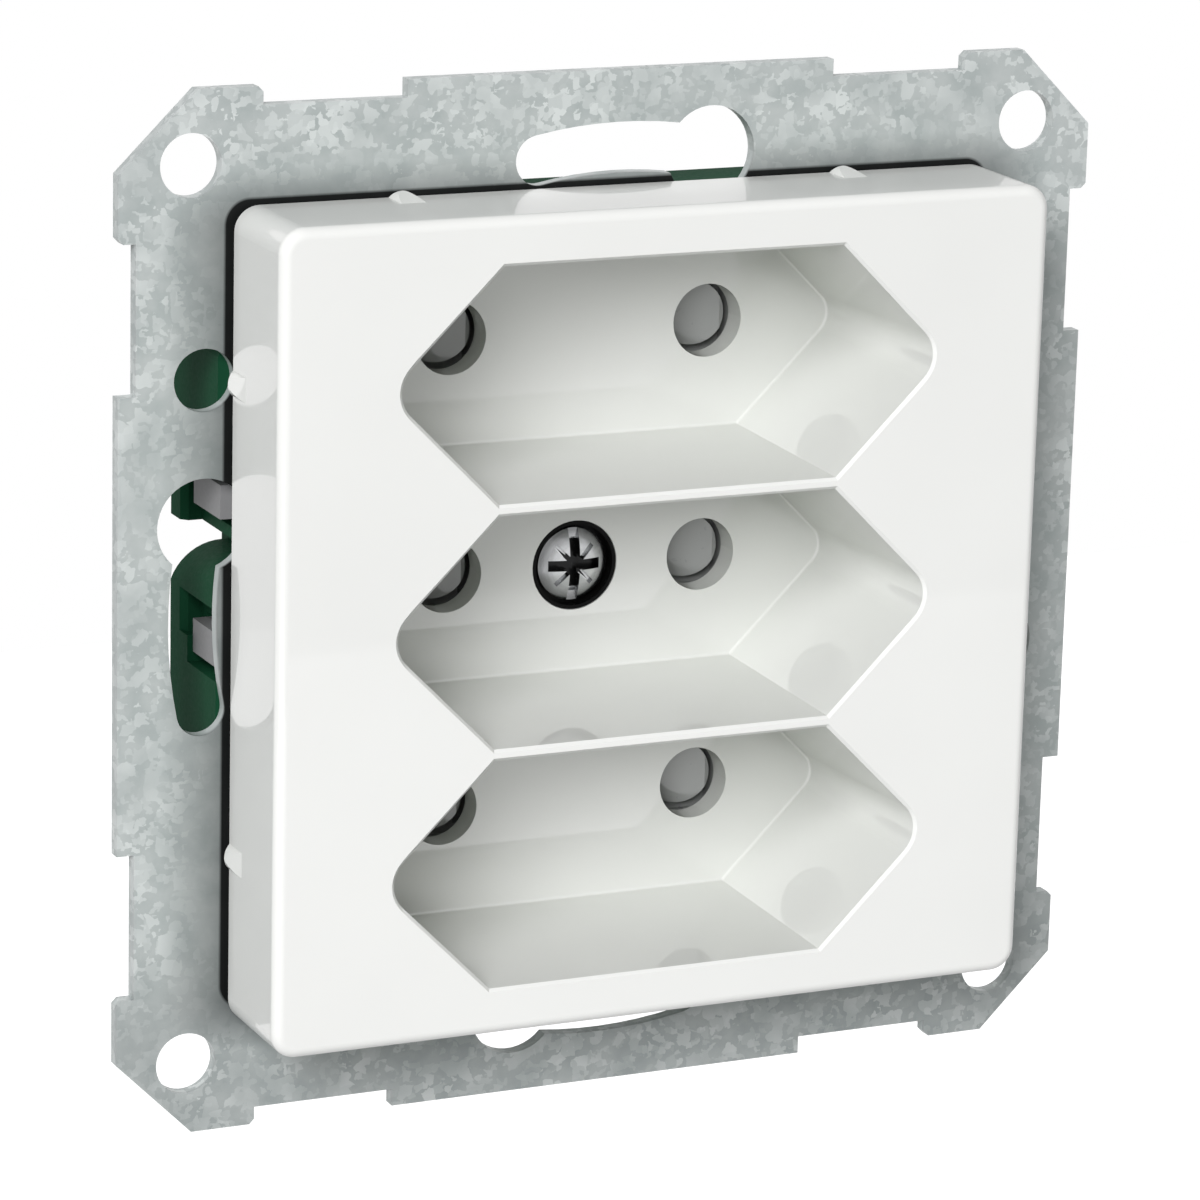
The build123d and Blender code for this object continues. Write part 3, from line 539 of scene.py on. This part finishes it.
def makeBlade(pole, side, s):
    # bent strip of a leg, an arc and two tongues:
    # points = path + normal x half the thickness, at four levels of Z
    low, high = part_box(pole + "_terminal_spring")
    half = s["thick"] / 2
    leanSin, leanCos = math.sin(s["lean"]), math.cos(s["lean"])
    inner, outer = sorted((abs(low[0]), abs(high[0])))
    arcX = inner + half + s["bend"]
    arcY = high[1] - half - s["bend"]
    turn = np.linspace(math.pi, s["lean"], s["bendSteps"])
    reach = (outer - half * leanCos - arcX - s["bend"] * leanCos) / leanSin
    step = np.linspace(0, reach, s["tongueSteps"] + 1)[1:]
    normal = np.stack((np.cos(turn), np.sin(turn)), axis=1)
    arc = np.array((arcX, arcY)) + s["bend"] * normal
    leg = np.array(((arc[0, 0], low[1]),))
    tongue = arc[-1] + step[:, None] * np.array((leanSin, -leanCos))
    path = np.concatenate((leg, arc, tongue))
    normal = np.concatenate((normal[:1], normal, np.repeat(normal[-1:], len(step), axis=0)))
    middle = (low[2] + high[2]) / 2
    levels = np.array((low[2], middle - s["slit"] / 2, middle + s["slit"] / 2, high[2]))
    flat = path[None] + np.array((half, -half))[:, None, None] * normal[None]
    points = np.empty((2, len(path), len(levels), 3))
    points[..., :2] = flat[:, :, None]
    points[..., 0] *= side
    points[..., 2] = levels
    index = np.arange(points.size // 3).reshape(points.shape[:3])
    root = len(arc)  # where the slit starts, at the end of the arc
    faces = [patch(index[face, :, j], index[face, :, j + 1]) for face in (0, 1) for j in (0, 2)]
    faces += [patch(index[face, :root + 1, 1], index[face, :root + 1, 2]) for face in (0, 1)]
    faces += [patch(index[0, :, j], index[1, :, j]) for j in (0, 3)]
    faces += [patch(index[0, root:, j], index[1, root:, j]) for j in (1, 2)]  # sides of the slit
    faces += [patch(index[0, 0], index[1, 0])]  # foot of the leg
    ends = ((-1, 0), (-1, 2), (root, 1))  # tips of the tongues and root of the slit
    faces += [patch(index[0, i, j:j + 2], index[1, i, j:j + 2]) for i, j in ends]
    quads = np.concatenate(faces).tolist()
    blade = makeSpring("spring_strip_" + pole, points, quads, pole + "_terminal_spring")
    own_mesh(blade)


for row in rows:
    makeCoil(row, coilSettings)
for pole, side in poles.items():
    makeBlade(pole, side, bladeSettings)
print("springs made")

# Floor, light and background
stageSettings = {
    "floorDrop": 0.14,  # below the lowest corner
    "floorHalf": 0.6,
    "floorTone": 0.35,
    "floorCloud": (40.0, 2.0),  # scale and detail
    "floorCloudTone": 0.99,
    "floorRoughness": 0.9,
    "floorSpecular": 0.1,
    "floorGlow": 0.86,  # added for what is seen or mirrored, so that the floor is white and keeps its shadow
    "background": 1.0,  # seen or mirrored
    "ambient": 0.12,  # what lights the part
}


def seenRay(tree):
    # 1 for camera, mirror and see-through rays, 0 for the rays that light the part
    path = addNode(tree, "ShaderNodeLightPath")
    seen = mathNode(tree, "MAXIMUM", path.outputs["Is Camera Ray"], path.outputs["Is Glossy Ray"])
    return mathNode(tree, "MAXIMUM", seen, path.outputs["Is Transmission Ray"])


def makeFloor(s):
    half = s["floorHalf"]
    level = cadBox[0][2] - s["floorDrop"]
    mesh = bpy.data.meshes.new("floor")
    corners = [(-half, -half, level), (half, -half, level), (half, half, level), (-half, half, level)]
    mesh.from_pydata(corners, [], [(0, 1, 2, 3)])
    floor = bpy.data.objects.new("floor", mesh)
    bpy.context.scene.collection.objects.link(floor)
    material, tree, shader = newMaterial("floor_paper")
    cloud = noise(tree, objectPlace(tree), *s["floorCloud"])["Fac"]
    colour = spread(tree, cloud, grey(s["floorTone"] * s["floorCloudTone"]), grey(s["floorTone"]))
    tree.links.new(colour, shader.inputs["Base Color"])
    shader.inputs["Roughness"].default_value = s["floorRoughness"]
    shader.inputs["Specular IOR Level"].default_value = s["floorSpecular"]
    glow = addNode(tree, "ShaderNodeEmission")
    tree.links.new(mathNode(tree, "MULTIPLY", seenRay(tree), s["floorGlow"]), glow.inputs["Strength"])
    both = addNode(tree, "ShaderNodeAddShader")
    tree.links.new(shader.outputs[0], both.inputs[0])
    tree.links.new(glow.outputs[0], both.inputs[1])
    tree.links.new(both.outputs[0], tree.nodes["Material Output"].inputs["Surface"])
    mesh.materials.append(material)


def makeWorld(s):
    world = bpy.data.worlds.new("studio")
    bpy.context.scene.world = world
    world.use_nodes = True
    tree = world.node_tree
    tree.nodes.clear()
    white = (1, 1, 1, 1)
    seen = addNode(tree, "ShaderNodeBackground", Strength=s["background"], Color=white)
    lit = addNode(tree, "ShaderNodeBackground", Strength=s["ambient"], Color=white)
    mix = addNode(tree, "ShaderNodeMixShader")
    tree.links.new(seenRay(tree), mix.inputs[0])
    tree.links.new(lit.outputs[0], mix.inputs[1])
    tree.links.new(seen.outputs[0], mix.inputs[2])
    out = addNode(tree, "ShaderNodeOutputWorld")
    tree.links.new(mix.outputs[0], out.inputs["Surface"])


lights = {
    "key": {"place": (-0.78, -1.0, 0.63), "size": 0.7, "power": 25.4},
    "fill": {"place": (0.9, -0.9, 0.1), "size": 0.9, "power": 1.2},
    "rear": {"place": (0.4, 1.0, 0.5), "size": 0.9, "power": 8.0},
}


def makeLight(name, s):
    data = bpy.data.lights.new(name, "AREA")
    data.shape = "SQUARE"
    data.size = s["size"]
    data.energy = s["power"]
    light = bpy.data.objects.new(name, data)
    bpy.context.scene.collection.objects.link(light)
    light.visible_glossy = False  # the white surroundings are mirrored, not the lamp
    light.location = s["place"]
    light.rotation_mode = "QUATERNION"
    light.rotation_quaternion = (-Vector(s["place"])).to_track_quat("-Z", "Y")


makeFloor(stageSettings)
makeWorld(stageSettings)
for name, settings in lights.items():
    makeLight(name, settings)
bpy.context.scene.view_settings.view_transform = "Standard"
print("stage and lights made")
